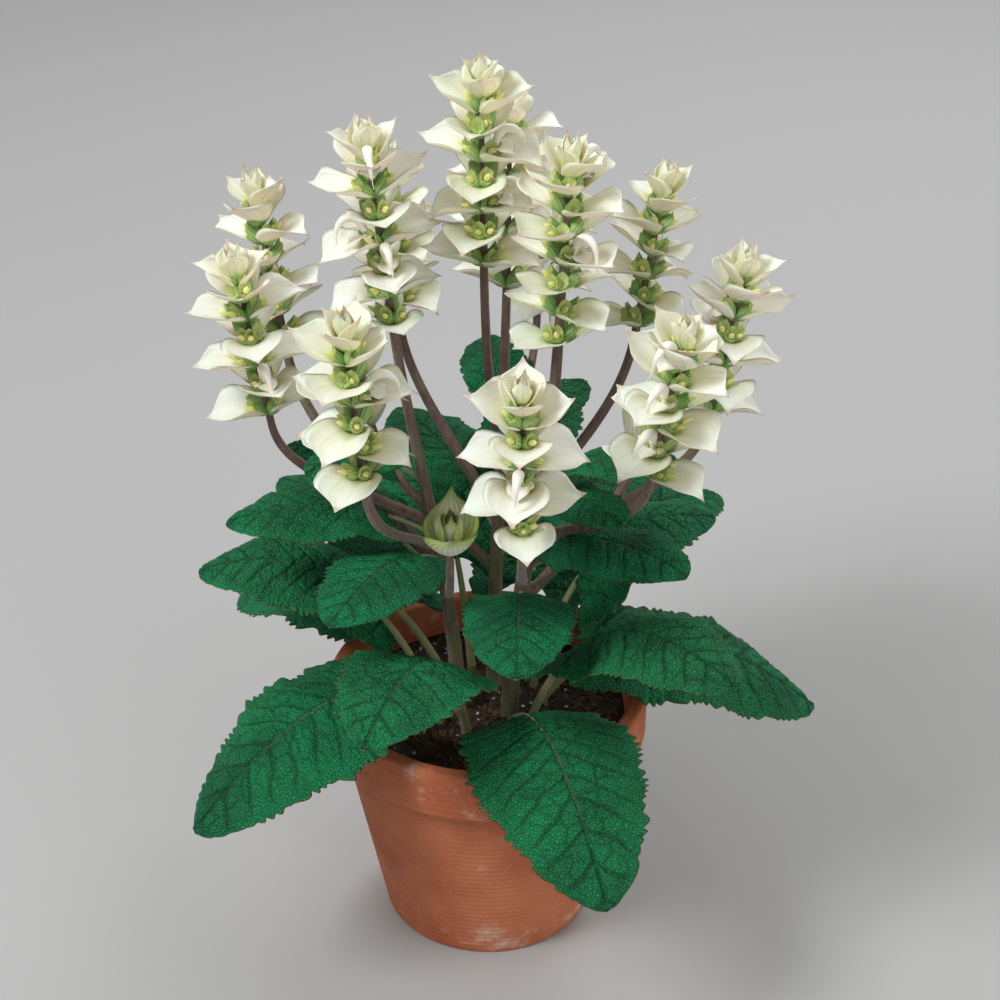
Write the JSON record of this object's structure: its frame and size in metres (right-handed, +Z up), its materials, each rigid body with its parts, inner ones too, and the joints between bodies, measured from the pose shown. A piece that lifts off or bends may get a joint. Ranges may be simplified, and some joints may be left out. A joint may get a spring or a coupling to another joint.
{
  "type": "potted turkestan clary sage",
  "caption": "Perennial clary sage in full flower in a plain clay pot: spikes of cream bracts on square brown stems above large toothed wrinkled leaves",
  "frame": {"origin": "middle of the pot's underside, on the pot's axis", "axes": "+Z up along the pot's axis, +Y towards the first stem, +X to the right; metres"},
  "size_m": [0.4377, 0.4329, 0.6292],
  "materials": {
    "terracotta": "unglazed fired clay, matt",
    "compost": "damp potting compost with bark crumbs",
    "stem": "square downy stem, purple brown",
    "bract": "papery bract, cream with a green foot and faint veins",
    "young_bract": "closed young bracts, yellow green",
    "leaf": "wrinkled downy leaf, deep green with a pale midrib"
  },
  "bodies": {
    "root": {"pot": "terracotta", "compost": "compost", "stem_1": "stem", "stem_2": "stem", "stem_3": "stem", "spike_01": "bract", "spike_02": "bract", "spike_03": "bract", "spike_04": "bract", "spike_05": "bract", "spike_06": "bract", "spike_07": "bract", "spike_08": "bract", "spike_09": "bract", "spike_10": "bract", "spike_11": "bract", "spike_12": "bract", "spike_13": "bract", "young_shoot_1": "young_bract", "young_shoot_2": "young_bract", "young_shoot_3": "young_bract", "stem_leaf_01": "leaf", "stem_leaf_02": "leaf", "stem_leaf_03": "leaf", "stem_leaf_04": "leaf", "stem_leaf_05": "leaf", "stem_leaf_06": "leaf", "stem_leaf_07": "leaf", "stem_leaf_08": "leaf", "stem_leaf_09": "leaf", "stem_leaf_10": "leaf", "stem_leaf_11": "leaf", "stem_leaf_12": "leaf", "stem_leaf_13": "leaf", "stem_leaf_14": "leaf", "stem_leaf_15": "leaf", "basal_leaf_01": "leaf", "basal_leaf_02": "leaf", "basal_leaf_03": "leaf", "basal_leaf_04": "leaf", "basal_leaf_05": "leaf", "basal_leaf_06": "leaf", "basal_leaf_07": "leaf", "basal_leaf_08": "leaf", "basal_leaf_09": "leaf", "basal_leaf_10": "leaf"}
  },
  "joints": []
}
